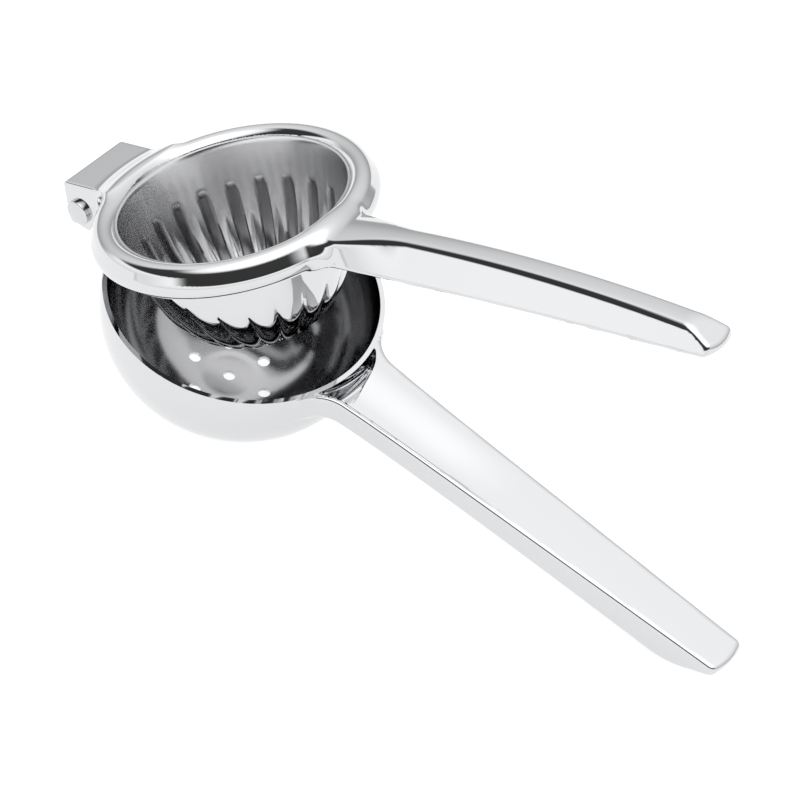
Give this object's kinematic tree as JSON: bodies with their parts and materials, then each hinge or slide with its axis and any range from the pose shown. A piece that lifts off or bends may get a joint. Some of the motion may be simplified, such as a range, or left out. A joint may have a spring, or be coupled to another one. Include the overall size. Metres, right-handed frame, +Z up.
{
  "type": "citrus press juicer",
  "caption": "Lever citrus press: a drained bowl with a handle, and a hinged ring with a fluted press cup and a second handle",
  "frame": {"origin": "middle of the table under the press's bounding box, on the table's surface", "axes": "+X runs from the hinge to the handles' ends, +Y across the press, +Z up from the table; the press stands part open"},
  "size_m": [0.2026, 0.0736, 0.1065],
  "materials": {
    "polished_steel": "mirror-polished cast stainless steel",
    "satin_steel": "pressed stainless sheet, satin inside and bright on the flutes",
    "pin_steel": "turned and polished rivet head"
  },
  "bodies": {
    "lower_jaw": {"lower_jaw": "polished_steel"},
    "upper_jaw": {"upper_jaw": "polished_steel", "press_cup": "satin_steel", "hinge_pin": "pin_steel"}
  },
  "joints": [
    {"name": "jaw_hinge", "type": "hinge", "parent": "lower_jaw", "child": "upper_jaw", "pos_m": [-0.09608, 0, 0.04441], "axis": [0, -1, 0], "range_deg": [-27, 73]}
  ]
}
